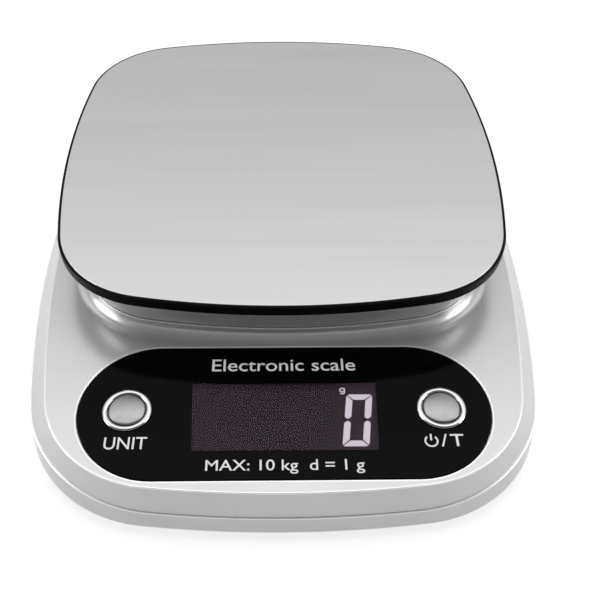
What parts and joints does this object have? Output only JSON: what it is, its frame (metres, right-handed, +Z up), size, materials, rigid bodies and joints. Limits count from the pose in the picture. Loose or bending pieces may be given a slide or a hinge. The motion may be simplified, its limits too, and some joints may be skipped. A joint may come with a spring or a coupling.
{
  "type": "digital gram scale",
  "caption": "Low electronic bench scale: a rounded silver body with a glossy black display panel and two keys in front, and a brushed steel weighing plate on a raised collar behind.",
  "frame": {"origin": "on the table surface, under the middle of the body's width and depth", "axes": "+X to the right of a person reading the display, +Y to the back, away from the display, +Z up"},
  "size_m": [0.1802, 0.2184, 0.042],
  "materials": {
    "silver_paint": "satin silver metallic paint on moulded ABS",
    "panel_black": "high gloss black acrylic with a tinted window",
    "lcd": "dark negative liquid crystal cell",
    "frame_black": "fine matt",
    "diffuser": "milky translucent",
    "elastomer": "layered conductive elastomer",
    "board_green": "solder mask",
    "epoxy_black": "potting blob",
    "component": "moulded components",
    "switch_black": "moulded nylon",
    "chrome": "bright plated",
    "satin_cap": "satin silver plated",
    "stem": "natural nylon",
    "aluminium": "milled and anodised",
    "silicone": "white sealing silicone",
    "gauge": "polyimide film",
    "zinc_steel": "zinc plated",
    "nickel": "nickel plated spring steel",
    "wire_red": "PVC sheath",
    "wire_black": "PVC sheath",
    "wire_green": "PVC sheath",
    "wire_white": "PVC sheath",
    "battery_sleeve": "shrink sleeve over a steel can",
    "rubber": "soft matt rubber",
    "brushed_steel": "fine straight brushing",
    "adhesive": "double sided foam tape",
    "tray_black": "black ABS"
  },
  "bodies": {
    "body": {"top_housing": "silver_paint", "bottom_housing": "silver_paint", "display_panel": "panel_black", "lcd_glass": "lcd", "lcd_frame": "frame_black", "backlight": "diffuser", "elastomer_strips": "elastomer", "main_board": "board_green", "controller_blob": "epoxy_black", "board_components": "component", "unit_switch": "switch_black", "power_tare_switch": "switch_black", "unit_button_ring": "chrome", "power_tare_button_ring": "chrome", "load_cell": "aluminium", "strain_gauges": "gauge", "lead_anchor": "silicone", "lower_spacer": "zinc_steel", "lower_screws": "zinc_steel", "sensor_wire_red": "wire_red", "sensor_wire_black": "wire_black", "sensor_wire_green": "wire_green", "sensor_wire_white": "wire_white", "battery_left": "battery_sleeve", "battery_right": "battery_sleeve", "bridge_contact": "nickel", "positive_contact": "nickel", "negative_contact": "nickel", "bridge_spring": "nickel", "negative_spring": "nickel", "battery_wire_red": "wire_red", "battery_wire_black": "wire_black", "foot_front_left": "rubber", "foot_front_right": "rubber", "foot_rear_left": "rubber", "foot_rear_right": "rubber", "housing_screws": "zinc_steel", "board_screws": "zinc_steel"},
    "platform": {"steel_plate": "brushed_steel", "plate_adhesive": "adhesive", "platform_tray": "tray_black", "platform_base": "silver_paint", "upper_spacer": "zinc_steel", "upper_screws": "zinc_steel"},
    "unit_key": {"unit_button": "satin_cap", "unit_switch_stem": "stem"},
    "power_tare_key": {"power_tare_button": "satin_cap", "power_tare_switch_stem": "stem"},
    "door": {"battery_door": "silver_paint"}
  },
  "joints": [
    {"name": "platform_travel", "type": "slide", "parent": "body", "child": "platform", "axis": [0, 0, -1], "range_m": [0, 0.0005], "stiffness_N_per_m": 200000, "deforming": ["load_cell"]},
    {"name": "unit_key_press", "type": "slide", "parent": "body", "child": "unit_key", "axis": [0, 0, -1], "range_m": [0, 0.0005], "stiffness_N_per_m": 2000},
    {"name": "power_tare_key_press", "type": "slide", "parent": "body", "child": "power_tare_key", "axis": [0, 0, -1], "range_m": [0, 0.0005], "stiffness_N_per_m": 2000},
    {"name": "battery_door_hinge", "type": "hinge", "parent": "body", "child": "door", "pos_m": [0.0318, -0.0002, 0.0042], "axis": [-1, 0, 0], "range_deg": [0, 85]}
  ]
}
